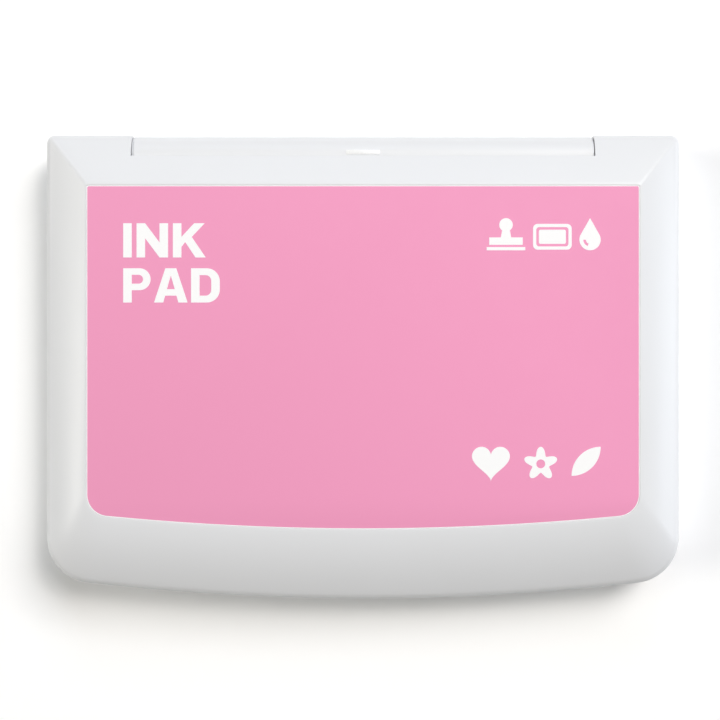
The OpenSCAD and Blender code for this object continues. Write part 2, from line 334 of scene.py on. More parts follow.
def merged_copy(node, name):
    """A copy of a frame node's mesh, whose triangles are loose, as one whole surface."""
    mesh = frame["nodes"][node].data.copy()
    mesh.materials.clear()
    weld(mesh, flat_angle=0.5)
    mesh.name = name
    return show(name, mesh)


def place(piece, body, slot, finish, *nodes, sharp=35):
    """Gives a piece its finish and its body, and hides the frame nodes that it stands for. It is shaded
    smooth except where two faces meet at more than the sharp angle, or left as it is without one."""
    if sharp:
        piece.data.shade_smooth()
        piece.data.set_sharp_from_angle(angle=math.radians(sharp))
    piece.data.materials.clear()
    piece.data.materials.append(finish)
    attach(piece, body)
    if nodes:
        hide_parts(*nodes)


# ---------------------------------------------------------------- finishes


# Most of a fine noise's values and of a broad noise's values lie in these spans
NOISE_SPAN = {"From Min": 0.3, "From Max": 0.7}
CLOUD_SPAN = {"From Min": 0.35, "From Max": 0.65}


def linear(hex_colour, share=1.0):
    """An sRGB hex value as linear red, green, blue and alpha, made darker or lighter by a share."""
    parts = [int(hex_colour[i:i + 2], 16) / 255 for i in (1, 3, 5)]
    light = [c / 12.92 if c <= 0.04045 else ((c + 0.055) / 1.055) ** 2.4 for c in parts]
    return tuple(c * share for c in light) + (1.0,)


def set_inputs(tree, item, values):
    """Gives each named socket of a node its value. A node given as the value is linked from its first output
    in use, and an output is linked as it is."""
    for key, value in values.items():
        if isinstance(value, bpy.types.Node):
            value = next(output for output in value.outputs if output.enabled)
        if isinstance(value, bpy.types.NodeSocket):
            tree.links.new(value, item.inputs[key])
        else:
            item.inputs[key].default_value = value


def add(tree, kind, inputs=None, **settings):
    """Adds a shader node of a kind, with its own settings and the values or links of its sockets."""
    item = tree.nodes.new("ShaderNode" + kind)
    for key, value in settings.items():
        setattr(item, key, value)
    set_inputs(tree, item, inputs or {})
    return item


def finish_tree(name):
    """A new material, its node tree with a Principled shader for its surface, and the object's own
    coordinates, which every pattern follows."""
    finish = bpy.data.materials.new(name)
    finish.use_nodes = True
    tree = finish.node_tree
    tree.nodes.clear()
    shader = add(tree, "BsdfPrincipled")
    add(tree, "OutputMaterial", {"Surface": shader})
    return finish, tree, shader, add(tree, "TexCoord").outputs["Object"]


def dress(tree, shader, tone=None, matt=None, relief=None, **values):
    """Lays patterns on a shader. tone is a pattern from 0 to 1 and the colours at its ends. matt is a
    pattern, the span that most of it lies in and the roughness at the span's ends. relief is a height, its
    depth in metres and its strength. values are the shader's plain settings."""
    if tone:
        factor, dark, light = tone
        values["Base Color"] = add(tree, "Mix", {"Factor": factor, "A": dark, "B": light}, data_type="RGBA")
    if matt:
        pattern, span, low, high = matt
        values["Roughness"] = add(tree, "MapRange", {"Value": pattern, **span, "To Min": low, "To Max": high})
    if relief:
        height, depth, strength = relief
        values["Normal"] = add(tree, "Bump", {"Height": height, "Distance": depth, "Strength": strength})
    set_inputs(tree, shader, values)


def moulded_abs(name, hex_colour, roughness):
    """ABS, injection-moulded in a fine spark-eroded mould: opaque white with a satin face. The erosion leaves
    pits of about 0.15 mm, drawn at 0.3 mm so that they show, and the flow leaves broad faint clouds."""
    finish, tree, shader, where = finish_tree(name)
    cloud = add(tree, "TexNoise", {"Vector": where, "Scale": 1 / (14 * MM)})
    pits = add(tree, "TexNoise", {"Vector": where, "Scale": 1 / (0.3 * MM), "Detail": 3.0})
    dress(
        tree, shader, tone=(cloud, linear(hex_colour, 0.985), linear(hex_colour, 1.01)),
        matt=(pits, NOISE_SPAN, roughness - 0.04, roughness + 0.06),
        relief=(pits, 0.012 * MM, 0.35), IOR=1.53,
    )
    return finish


def printed_film(name, hex_colour, roughness):
    """Polypropylene label film, printed and laminated: an even colour under a thin satin skin, whose
    lamination shows as a very shallow ripple a few millimetres across."""
    finish, tree, shader, where = finish_tree(name)
    ripple = add(tree, "TexNoise", {"Vector": where, "Scale": 1 / (3 * MM)})
    fibre = add(tree, "TexNoise", {"Vector": where, "Scale": 1 / (0.25 * MM)})
    height = add(tree, "Math", {0: ripple, 1: fibre}, operation="ADD")
    dress(
        tree, shader, tone=(fibre, linear(hex_colour, 0.992), linear(hex_colour, 1.006)),
        matt=(ripple, NOISE_SPAN, roughness - 0.03, roughness + 0.03),
        relief=(height, 0.006 * MM, 0.3), IOR=1.49,
    )
    return finish


def printing_ink(name, hex_colour):
    """Opaque white screen ink: matt, with the faint mottle of its pigment."""
    finish, tree, shader, where = finish_tree(name)
    mottle = add(tree, "TexNoise", {"Vector": where, "Scale": 1 / (0.4 * MM)})
    dress(
        tree, shader, tone=(mottle, linear(hex_colour, 0.985), linear(hex_colour)),
        matt=(mottle, NOISE_SPAN, 0.5, 0.6), IOR=1.5,
    )
    return finish


def coated_paper(name, band_low, band_high, band_colour):
    """White coated paper with one plain printed band, between two places along X, that shows the ink's
    colour. The paper's fibres show faintly through the coating."""
    finish, tree, shader, where = finish_tree(name)
    along = add(tree, "SeparateXYZ", {"Vector": where}).outputs["X"]
    above = add(tree, "Math", {0: along, 1: band_low}, operation="GREATER_THAN")
    below = add(tree, "Math", {0: along, 1: band_high}, operation="LESS_THAN")
    band = add(tree, "Math", {0: above, 1: below}, operation="MULTIPLY")
    fibre = add(tree, "TexNoise", {"Vector": where, "Scale": 1 / (0.3 * MM), "Detail": 4.0})
    paper = {"Factor": fibre, "A": linear("#ECECE8"), "B": linear("#F6F6F4")}
    sheet = add(tree, "Mix", paper, data_type="RGBA")
    dress(
        tree, shader, tone=(band, sheet, linear(band_colour)),
        matt=(fibre, NOISE_SPAN, 0.5, 0.65), relief=(fibre, 0.01 * MM, 0.4),
    )
    return finish


def plain_weave(tree, spacing):
    """Height of a plain weave on the cloth's own map: each thread is a round ridge, |sin| across it, and the
    warp is on top where the product of the two sines is positive, the weft where it is negative."""
    split = add(tree, "SeparateXYZ", {"Vector": add(tree, "UVMap", uv_map="cloth")})
    wave = []
    for axis in ("X", "Y"):
        turn = add(tree, "Math", {0: split.outputs[axis], 1: math.pi / spacing}, operation="MULTIPLY")
        wave.append(add(tree, "Math", {0: turn}, operation="SINE"))
    product = add(tree, "Math", {0: wave[0], 1: wave[1]}, operation="MULTIPLY")
    warp, weft = [add(tree, "Math", {0: side}, operation="ABSOLUTE") for side in wave]
    over = add(tree, "MapRange", {"Value": product, "From Min": -0.25, "From Max": 0.25})
    return add(tree, "Mix", {"Factor": over, "A": warp, "B": weft})


def inked_cotton(name, hex_colour, spacing):
    """Fine plain-woven cotton soaked with dye ink: the threads are painted darker in the valleys and lighter
    on the crowns, painted shade and light that follow the weave, with broad patches where the ink has dried a
    little. Real threads are 0.2 to 0.3 mm apart, and are drawn a little coarser so that they show."""
    finish, tree, shader, where = finish_tree(name)
    weave = plain_weave(tree, spacing)
    damp = add(tree, "TexNoise", {"Vector": where, "Scale": 1 / (11 * MM), "Detail": 3.0})
    fibre = add(tree, "TexNoise", {"Vector": where, "Scale": 1 / (0.12 * MM)})
    # Thread colour runs from dark in the valleys to light on the crowns: painted shade and painted light that
    # follow the weave.
    colours = {"Factor": weave, "A": linear(hex_colour, 0.62), "B": linear(hex_colour, 1.08)}
    thread = add(tree, "Mix", colours, data_type="RGBA")
    patch = add(tree, "MapRange", {"Value": damp, **CLOUD_SPAN, "To Min": 0.9, "To Max": 1.04})
    fuzz = add(tree, "Math", {0: fibre, 1: 0.25}, operation="MULTIPLY")
    height = add(tree, "Math", {0: weave, 1: fuzz}, operation="ADD")
    dress(tree, shader, matt=(damp, CLOUD_SPAN, 0.5, 0.72), relief=(height, 0.09 * MM, 0.8))
    set_inputs(tree, shader, {
        "Base Color": add(tree, "VectorMath", {0: thread, "Scale": patch}, operation="SCALE"),
        "Sheen Weight": 0.15,
        "Sheen Roughness": 0.4,
    })
    return finish


def inked_pores(name, hex_colour, pore):
    """Open-cell polyurethane foam, or pressed felt with its finer pores, soaked with ink: round pores painted
    dark as shade in their hollows, with thin walls between them painted bright."""
    finish, tree, shader, where = finish_tree(name)
    cells = add(tree, "TexVoronoi", {"Vector": where, "Scale": 1 / pore})
    wall = add(tree, "MapRange", {"Value": cells, "From Min": 0.1, "From Max": 0.6})
    # The pores' dark centres are painted shade; the walls between them stay bright.
    dress(
        tree, shader, tone=(wall, linear(hex_colour, 0.55), linear(hex_colour, 1.05)),
        relief=(wall, 0.15 * MM, 0.7), Roughness=0.75,
    )
    return finish


def drawn_steel(name):
    """Drawn steel wire cut for pins: fine bright lines along the pin, 0.08 mm apart and twenty times as long
    as they are wide."""
    finish, tree, shader, where = finish_tree(name)
    stretched = add(tree, "Mapping", {"Vector": where, "Scale": (0.05, 1.0, 1.0)})
    lines = add(tree, "TexNoise", {"Vector": stretched, "Scale": 1 / (0.08 * MM)})
    dress(
        tree, shader, tone=(lines, linear("#A9ABB0"), linear("#D0D2D6")),
        matt=(lines, NOISE_SPAN, 0.25, 0.42), Metallic=1.0,
    )
    return finish


def moulded_rubber(name, hex_colour):
    """Soft moulded rubber: dark grey, dull, with dust-fine pits and slightly paler worn patches."""
    finish, tree, shader, where = finish_tree(name)
    pits = add(tree, "TexNoise", {"Vector": where, "Scale": 1 / (0.25 * MM), "Detail": 3.0})
    worn = add(tree, "TexNoise", {"Vector": where, "Scale": 1 / (3 * MM)})
    dress(
        tree, shader, tone=(worn, linear(hex_colour, 0.8), linear(hex_colour, 1.3)),
        matt=(pits, NOISE_SPAN, 0.7, 0.85), relief=(pits, 0.02 * MM, 0.5),
    )
    return finish


def seamless_paper(name, glow):
    """Seamless backdrop paper: matt and almost white, with a fine tooth, and a glow from light below it."""
    finish, tree, shader, where = finish_tree(name)
    tooth = add(tree, "TexNoise", {"Vector": where, "Scale": 1 / (0.8 * MM), "Detail": 3.0})
    dress(tree, shader, tone=(tooth, linear("#FCFCFC"), linear("#FFFFFF")), Roughness=0.9)
    set_inputs(tree, shader, {"Emission Color": linear("#FFFFFF"), "Emission Strength": glow})
    return finish


# ---------------------------------------------------------------- the lid


# Sizes of what is inside the lid
SLOPE_RISE = 3.6 * MM  # height of the slope between the side walls and the ceiling
SKIRT_GAP = 0.2 * MM  # how far the skirt's lower edge stands above the base's deck
POCKET_RADIUS = 2.3 * MM  # half the height of the open pocket behind each ear's boss
POCKET_DEPTH = 6 * MM  # how far the pocket runs forward from the hinge axis
BOSS = 4.25 * MM  # length of the boss that each pin runs in
BORE_SLACK = 0.05 * MM  # what the bore's radius is larger than the pin's
BORE_RUN = 0.3 * MM  # how far the bore's tool runs out past each end of the boss
EAR_RUN = 0.2 * MM  # how far the cut under an ear runs past the ear's inner face
GROOVE_RADIUS, GROOVE_HALF = 0.7 * MM, 6.5 * MM  # the catch's groove, and half its length
GROOVE_IN, GROOVE_RISE = 0.55 * MM, 0.8 * MM  # its axis, in from the front wall and up from the deck


def lid_outline(lid, inset):
    """The lid's outline in plan, made smaller all round by an inset."""
    return bowed_outline(
        CASE_W / 2 - inset, CASE_D / 2 - inset, inset - CASE_D / 2,
        lid.front_arc - inset, lid.front_corner - inset, max(lid.rear_corner - inset, SHARP_CORNER),
    )


def label_outline(label, grow):
    """The label's outline in plan, made larger all round."""
    return bowed_outline(
        LABEL_HIGH.x + grow, LABEL_HIGH.y + grow, LABEL_LOW.y - grow,
        label.front_arc + grow, label.corner + grow, SHARP_CORNER + max(grow, 0),
    )


def bevel_bulge(lid, edge, rim):
    """How much each of the bevel's lines is crowned, blended by which way the bevel faces: rearwards,
    sideways or forwards."""
    out = edge - rim
    facing = out[:, 1] / np.linalg.norm(out, axis=1)
    rear = lid.bulge_side + (lid.bulge_rear - lid.bulge_side) * np.clip(facing, 0, 1) ** 2
    front = lid.bulge_side + (lid.bulge_front - lid.bulge_side) * np.clip(-facing, 0, 1) ** 2
    return np.where(facing > 0, rear, front)


def lid_rings(lid, label):
    """Rings of the lid's outer form, bottom first. The skirt is upright. The rounded edge is a quadratic
    curve that leaves the skirt upright and meets the bevel at the bevel's own slope. The bevel runs from the
    edge to the rim along straight lines in plan, and its height is (1 + b)u - b u u of the drop, where u is
    the share of the way and b is the bulge. The flat rim turns on a small quarter circle into the wall of the
    label's recess."""
    edge_z, skirt_z = TOP_Z - lid.edge_drop, TOP_Z - lid.skirt_drop
    edge, rim = lid_outline(lid, lid.edge), label_outline(label, lid.rim)
    bulge = bevel_bulge(lid, edge, rim)
    run = np.linalg.norm(edge - rim, axis=1)
    corner_z = edge_z - lid.edge * lid.edge_drop * (1 + bulge) / run
    rings = [level(lid_outline(lid, 0), LID_LOW.z - MM)]
    for t in np.linspace(0, 1, 9):
        height = skirt_z * (1 - t) ** 2 + 2 * t * (1 - t) * corner_z + edge_z * t * t
        rings.append(level(lid_outline(lid, lid.edge * t * t), height))
    for u in np.linspace(0, 1, 15)[1:]:
        height = edge_z + lid.edge_drop * ((1 + bulge) * u - bulge * u * u)
        rings.append(level(edge + (rim - edge) * u, height))
    soft = 0.04 * MM
    for turn in np.radians(np.linspace(90, 0, 4)):
        grow = lid.label_gap + soft * (1 - math.cos(turn))
        rings.append(level(label_outline(label, grow), TOP_Z - soft * (1 - math.sin(turn))))
    rings.append(level(label_outline(label, lid.label_gap), TOP_Z - lid.recess))
    return rings


def lid_cavity(lid, label):
    """The lid's hollow: upright walls and a straight slope up to the ceiling, with the hinge ears left in."""
    ceiling_z = TOP_Z - lid.top
    wall = lid_outline(lid, lid.wall)
    hollow = loft("cavity", [
        level(wall, LID_LOW.z - REACH),
        level(wall, ceiling_z - SLOPE_RISE),
        level(label_outline(label, lid.rim), ceiling_z),
    ])
    ring = arc(HINGE[1:], lid.ear_radius, 0, 360, 96)[:-1]
    return carve(hollow, prism_pair("ears", ring, CASE_W / 2 - lid.ear, CASE_W / 2 + REACH))


def lid_tools(lid):
    """What is cut from the lid: the notch for the knuckle, everything under the skirt and round the ears,
    the pockets behind the ears' bosses, the pin bores and the catch's groove."""
    y, z = HINGE[1:]
    ear_in = CASE_W / 2 - lid.ear
    skirt_z = DECK_Z + SKIRT_GAP
    low = LID_LOW.z - REACH
    clear = lid.knuckle_clear
    lip_turn = math.degrees(math.acos(-lid.lip / clear))
    notch = np.vstack((
        [(CASE_D, low), (CASE_D, TOP_Z + REACH), (y - lid.lip, TOP_Z + REACH)],
        arc((y, z), clear, lip_turn, 180, 40),
        [(y - clear, low)],
    ))
    ear = lid.ear_radius
    ear_turn = 180 + math.degrees(math.asin((z - skirt_z) / ear))
    ear_front = y + ear * math.cos(math.radians(ear_turn))
    under_ear = np.vstack((
        [(ear_front, low), (CASE_D, low), (CASE_D, z)],
        arc((y, z), ear, 360, ear_turn, 64),
    ))
    skirt_rear = ear_front + OVERLAP
    under_skirt = [(-CASE_D, low), (skirt_rear, low), (skirt_rear, skirt_z), (-CASE_D, skirt_z)]
    boss = ear_in + BOSS
    pocket_y = y - POCKET_DEPTH
    pocket = np.vstack((
        [(pocket_y, z - POCKET_RADIUS)],
        arc((y, z), POCKET_RADIUS, -90, 90, 24),
        [(pocket_y, z + POCKET_RADIUS)],
    ))
    bore = arc((y, z), (PIN_HIGH.z - PIN_LOW.z) / 2 + BORE_SLACK, 0, 360, 32)[:-1]
    groove_at = (lid.wall + GROOVE_IN - CASE_D / 2, DECK_Z + GROOVE_RISE)
    groove = arc(groove_at, GROOVE_RADIUS, 0, 360, 24)[:-1]
    wide = CASE_W / 2 + REACH
    return (
        prism("notch", notch, -ear_in, ear_in),
        prism_pair("under_ear", under_ear, ear_in - EAR_RUN, wide),
        prism("under_skirt", under_skirt, -wide, wide),
        prism_pair("pocket", pocket, boss, CASE_W / 2 - lid.wall),
        prism_pair("bore", bore, ear_in - BORE_RUN, boss + BORE_RUN),
        prism("groove", groove, -GROOVE_HALF, GROOVE_HALF),
    )


class INKPAD_OT_lid(bpy.types.Operator):
    """Builds the lid: a bevelled shell with a bowed front, a recess for the label and two hinge ears"""

    bl_idname = "inkpad.lid"
    bl_label = "Lid"

    def execute(self, context):
        lid, label, case = context.scene.inkpad_lid, context.scene.inkpad_label, context.scene.inkpad_case
        shell = loft("lid_case", lid_rings(lid, label))
        carve(shell, lid_cavity(lid, label), *lid_tools(lid))
        soften(shell, case.edge_round)
        place(shell, "lid", "case_plastic", moulded_abs("abs_case_lid", case.plastic, 0.38), "lid_shell")
        return {"FINISHED"}


# ---------------------------------------------------------------- the label and its print


# How far in from the label's left, right, rear and front edges the print stands
PRINT_LEFT, PRINT_RIGHT, PRINT_REAR, PRINT_FRONT = 6.6 * MM, 7 * MM, 13 * MM, 8.65 * MM
LINE_STEP = 8.15 * MM  # from the foot of one line of letters to the next
PICTURES_RISE = 1.3 * MM  # how far the upper pictures stand above the foot of the upper line of letters
PICTURES_SIZE = 0.94  # their height as a share of the letters'
FILM_SLACK = 0.02 * MM  # between the film and the wall of its recess


def glyphs(w=0.25):
    """The plain bold letters and pictures by name: each is its closed outlines, one unit high with holes
    among them, and its width. w is the width of a letter's stem."""
    bowl = arc((0.48, 0.68), 0.32, -90, 90, 20)
    bowl_hole = arc((0.45, 0.68), 0.13, -90, 90, 14)
    round_back = np.vstack((arc((0.46, 0.38), 0.38, -90, 0, 14), arc((0.46, 0.62), 0.38, 0, 90, 14)))
    back_hole = np.vstack((arc((0.42, 0.37), 0.17, -90, 0, 10), arc((0.42, 0.63), 0.17, 0, 90, 10)))
    # the drop is a circle and the two straight lines from its tangent points to the tip
    tip_turn = math.degrees(math.acos(0.33 / 0.67))
    drop = arc((0.33, 0.33), 0.33, 90 + tip_turn, 450 - tip_turn, 40)
    shine = np.vstack((arc((0.33, 0.33), 0.21, 180, 250, 10), arc((0.33, 0.33), 0.13, 250, 180, 10)))
    knob = arc((0.6, 0.79), 0.21, -55, 235, 36)
    # the heart is x = 16 sin^3 t and y = 13 cos t - 5 cos 2t - 2 cos 3t - cos 4t, brought to one unit high
    t = np.linspace(0, 2 * math.pi, 72, endpoint=False)
    up = 13 * np.cos(t) - 5 * np.cos(2 * t) - 2 * np.cos(3 * t) - np.cos(4 * t)
    heart = np.column_stack((16 * np.sin(t) ** 3, up)) / (up.max() - up.min())
    heart -= heart.min(axis=0)
    # the flower has five petals: the radius is 0.38 + 0.12 cos 5t about the centre
    t = np.linspace(0, 2 * math.pi, 120, endpoint=False)
    petal = 0.38 + 0.12 * np.cos(5 * (t - math.pi / 2))
    return {
        "I": ([[(0, 0), (w, 0), (w, 1), (0, 1)]], w),
        "N": ([[
            (0, 0), (w, 0), (w, 0.56), (0.92 - w, 0), (0.92, 0),
            (0.92, 1), (0.92 - w, 1), (0.92 - w, 0.44), (w, 1), (0, 1),
        ]], 0.92),
        "K": ([[
            (0, 0), (w, 0), (w, 0.31), (0.36, 0.45), (0.66, 0), (0.96, 0),
            (0.55, 0.6), (0.93, 1), (0.62, 1), (w, 0.6), (w, 1), (0, 1),
        ]], 0.96),
        "P": ([
            np.vstack(([(0, 0), (w, 0), (w, 0.36)], bowl, [(0, 1)])),
            np.vstack(([(w, 0.55)], bowl_hole, [(w, 0.81)])),
        ], 0.8),
        "A": ([
            [(0, 0), (0.27, 0), (0.325, 0.2), (0.655, 0.2), (0.71, 0), (0.98, 0), (0.65, 1), (0.33, 1)],
            [(0.375, 0.39), (0.605, 0.39), (0.49, 0.79)],
        ], 0.98),
        "D": ([
            np.vstack(([(0, 0)], round_back, [(0, 1)])),
            np.vstack(([(w, 0.2)], back_hole, [(w, 0.8)])),
        ], 0.84),
        "drop": ([np.vstack((drop, [(0.33, 1.0)])), shine], 0.66),
        "stamp": ([
            [(0, 0), (1.2, 0), (1.2, 0.1), (0, 0.1)],
            np.vstack((
                [(0.08, 0.17), (1.12, 0.17), (1.12, 0.4), (0.76, 0.4)], knob, [(0.44, 0.4), (0.08, 0.4)],
            )),
        ], 1.2),
        # the case, a gap and the cushion, as three nested outlines
        "pad": ([
            rounded_outline(0.6 - i, 0.4 - i, 0.14 - i / 2, 0.42, 5) + (0.6, 0) for i in (0, 0.1, 0.18)
        ], 1.2),
        "heart": ([heart], heart[:, 0].max()),
        "flower": ([
            np.column_stack((petal * np.cos(t), petal * np.sin(t))) + 0.5,
            arc((0.5, 0.5), 0.13, 0, 360, 32)[:-1],
        ], 1.0),
        # two equal arcs that meet at the leaf's ends
        "leaf": ([np.vstack((
            arc((0.85, 0.15), 0.85, 90, 180, 30), arc((0.0, 1.0), 0.85, -90, 0, 30),
        ))], 0.85),
    }


def print_row(names, base, height, gap, left=None, right=None):
    """The outlines of a row of letters or pictures that stands on base, and starts at left or ends at
    right."""
    known = glyphs()
    row = [known[name] for name in names]
    if left is None:
        left = right - height * (sum(width + gap for outlines, width in row) - gap)
    shapes = []
    for outlines, width in row:
        shapes += [np.asarray(outline) * height + (left, base) for outline in outlines]
        left += (width + gap) * height
    return shapes


def flat_shapes(name, outlines, low, thickness):
    """Closed outlines in plan filled as a thin plate, with an outline inside another as its hole."""
    curve = bpy.data.curves.new(name, "CURVE")
    curve.dimensions = "2D"
    curve.fill_mode = "BOTH"
    curve.extrude = thickness / 2
    for outline in outlines:
        spline = curve.splines.new("POLY")
        spline.points.add(len(outline) - 1)
        weighted = np.column_stack((outline, np.zeros(len(outline)), np.ones(len(outline))))
        spline.points.foreach_set("co", weighted.ravel())
        spline.use_cyclic_u = True
    drawn = show(name + "_curve", curve)
    bpy.context.view_layer.update()
    mesh = bpy.data.meshes.new_from_object(drawn.evaluated_get(bpy.context.evaluated_depsgraph_get()))
    bpy.data.objects.remove(drawn)
    weld(mesh)
    mesh.transform(mathutils.Matrix.Translation((0, 0, low + thickness / 2)))
    mesh.name = name
    return show(name, mesh)


def thin_plate(name, outline_at, low, high, edge=0.05 * MM):
    """A thin plate whose upper and lower edges are quarter circles. outline_at gives the outline at an
    inset."""
    turns = np.radians(np.linspace(0, 90, 4))
    rings = [level(outline_at(edge * (1 - math.sin(t))), low + edge * (1 - math.cos(t))) for t in turns]
    rings += [level(outline_at(edge * (1 - math.cos(t))), high - edge * (1 - math.sin(t))) for t in turns]
    return loft(name, rings)


class INKPAD_OT_label(bpy.types.Operator):
    """Builds the film label in the lid's recess and the plain print on it"""

    bl_idname = "inkpad.label"
    bl_label = "Label"

    def execute(self, context):
        label = context.scene.inkpad_label
        grow = context.scene.inkpad_lid.label_gap - FILM_SLACK
        stock = thin_plate(
            "label_stock", lambda inset: label_outline(label, grow - inset),
            LABEL_LOW.z, LABEL_HIGH.z - label.ink, edge=label.ink,
        )
        white = printed_film("white_label_stock", label.print_colour, 0.6)
        place(stock, "lid", "label_film", white, "lid_label")
        # The white border that the tint leaves is partly the stock's own white and partly a painted highlight
        # for the bright rim round the label.
        tint = thin_plate(
            "label_tint", lambda inset: label_outline(label, grow - label.border - inset),
            LABEL_HIGH.z - 1.5 * label.ink, LABEL_HIGH.z, edge=label.ink / 3,
        )
        place(tint, "lid", "label_film", printed_film("laminated_film", label.film_colour, 0.68))
        cap = label.cap_height
        left, right = LABEL_LOW.x + PRINT_LEFT, LABEL_HIGH.x - PRINT_RIGHT
        upper, lower = LABEL_HIGH.y - PRINT_REAR, LABEL_LOW.y + PRINT_FRONT
        rows = [
            *print_row("INK", upper, cap, 0.14, left=left),
            *print_row("PAD", upper - LINE_STEP, cap, 0.1, left=left),
            *print_row(
                ("stamp", "pad", "drop"), upper + PICTURES_RISE, PICTURES_SIZE * cap, 0.24, right=right,
            ),
            *print_row(("heart", "flower", "leaf"), lower, cap, 0.4, right=right),
        ]
        ink = flat_shapes("label_print", rows, LABEL_HIGH.z - label.ink / 3, label.ink)
        place(ink, "lid", "label_film", printing_ink("screen_ink", label.print_colour), sharp=None)
        return {"FINISHED"}


# ---------------------------------------------------------------- the base and its fittings


COLLAR_GAP = 0.1 * MM  # between each collar's end and the lid's ear
BAR_HALF = (3.1 * MM, 0.4 * MM)  # half the centre bar's length and width
BAR_REAR = 0.35 * MM  # how far the bar lies behind the hinge axis
FOOT_SOFT = 0.35 * MM  # radius of a foot's lower edge
PIN_CHAMFER = 0.2 * MM
BAND_START, BAND_STOP = 5 * MM, 17 * MM  # the printed band, from the underside label's left edge


def centre_bar(y, z, radius):
    """The bar on the barrel. It follows the barrel's curve: its height is the barrel's radius plus a rise,
    round the hinge axis."""
    half_w, half_d = BAR_HALF
    rings = []
    for inset, rise in ((0, -0.05 * MM), (0, 0.05 * MM), (0.02 * MM, 0.09 * MM), (0.07 * MM, 0.12 * MM)):
        outline = rounded_outline(half_w - inset, half_d - inset, 0.15 * MM, y + BAR_REAR, 5)
        rings.append(level(outline, z + np.sqrt((radius + rise) ** 2 - (outline[:, 1] - y) ** 2)))
    return loft("centre_bar", rings)


class INKPAD_OT_base(bpy.types.Operator):
    """Builds the base: the moulded shell with its well, locating rim, knuckle and ribs, and the centre bar"""

    bl_idname = "inkpad.base"
    bl_label = "Base"

    def execute(self, context):
        case = context.scene.inkpad_case
        shell = merged_copy("base_shell", "base_case")
        y, z = HINGE[1:]
        half, radius = case.knuckle / 2, case.knuckle_radius
        room = [(y - radius, DECK_Z), (y + REACH, DECK_Z), (y + REACH, TOP_Z), (y - radius, TOP_Z)]
        carve(shell, prism("room", room, -half - OVERLAP, half + OVERLAP))
        barrel = np.vstack(([(y - radius, DECK_Z), (y + radius, DECK_Z)], arc((y, z), radius, 0, 180, 72)))
        carve(shell, prism("barrel", barrel, -half, half), operation="UNION")
        collar = arc((y, z), radius - case.collar_drop, 0, 360, 72)[:-1]
        collar_half = CASE_W / 2 - context.scene.inkpad_lid.ear - COLLAR_GAP
        carve(shell, prism("collar", collar, -collar_half, collar_half), operation="UNION")
        bore = arc((y, z), (PIN_HIGH.z - PIN_LOW.z) / 2, 0, 360, 32)[:-1]
        carve(shell, prism_pair("bore", bore, PIN_LOW.x, LID_HIGH.x))
        weld(shell.data, flat_angle=0.5)
        soften(shell, case.edge_round)
        plastic = moulded_abs("abs_case_base", case.plastic, 0.38)
        place(shell, "base", "case_plastic", plastic, "base_shell", sharp=25)
        # The bar's whiter colour is a painted highlight for the glint on its top; its lower roughness is real
        # gloss.
        glossy_bar_painted_highlight = moulded_abs("abs_glossy_bar_painted_highlight", "#FAFAFA", 0.25)
        place(centre_bar(y, z, radius), "base", "case_plastic", glossy_bar_painted_highlight)
        return {"FINISHED"}


def foot_disc(name, low, high):
    """A foot turned about its own middle: from the slightly dished underside, round the lower edge, which is
    a quarter circle, and up the side."""
    radius = (high.x - low.x) / 2
    turns = np.radians(np.linspace(0, 90, 6))
    radii = [0.3 * radius, 0.75 * radius, radius - 1.6 * FOOT_SOFT]
    radii += [radius - FOOT_SOFT * (1 - math.sin(t)) for t in turns] + [radius]
    heights = [low.z + 0.12 * MM, low.z + 0.1 * MM, low.z]
    heights += [low.z + FOOT_SOFT * (1 - math.cos(t)) for t in turns] + [high.z]
    return loft(name, lathe_rings(radii, heights) + ((low.x + high.x) / 2, (low.y + high.y) / 2, 0))


def hinge_pin(name, low, high):
    """A pin with chamfered ends, turned about Z and then laid along X."""
    radius, half = (high.z - low.z) / 2, (high.x - low.x) / 2
    radii = (radius - PIN_CHAMFER, radius, radius, radius - PIN_CHAMFER)
    turned = lathe_rings(radii, (-half, PIN_CHAMFER - half, half - PIN_CHAMFER, half))
    return loft(name, turned[:, :, (2, 0, 1)] + ((low.x + high.x) / 2, HINGE[1], HINGE[2]))


class INKPAD_OT_fittings(bpy.types.Operator):
    """Builds the feet, the hinge pins and the label under the base"""

    bl_idname = "inkpad.fittings"
    bl_label = "Feet, pins and underside label"

    def execute(self, context):
        rubber = moulded_rubber("moulded_rubber", "#3C3C3F")
        for name in ("foot_front_left", "foot_front_right", "foot_rear_left", "foot_rear_right"):
            place(foot_disc(name + "_disc", *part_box(name)), "base", "foot_rubber", rubber, name)
        steel = drawn_steel("drawn_steel")
        for name in ("hinge_pin_left", "hinge_pin_right"):
            place(hinge_pin(name + "_steel", *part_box(name)), "base", "pin_steel", steel, name)
        low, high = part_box("underside_label")
        half_w, half_d, middle = high.x, (high.y - low.y) / 2, (high.y + low.y) / 2
        paper = thin_plate(
            "underside_paper",
            lambda inset: rounded_outline(half_w - inset, half_d - inset, 2 * MM - inset, middle),
            low.z, high.z,
        )
        tint = context.scene.inkpad_label.film_colour
        finish = coated_paper("coated_paper", low.x + BAND_START, low.x + BAND_STOP, tint)
        place(paper, "base", "label_paper", finish, "underside_label")
        return {"FINISHED"}


# ---------------------------------------------------------------- the cartridge


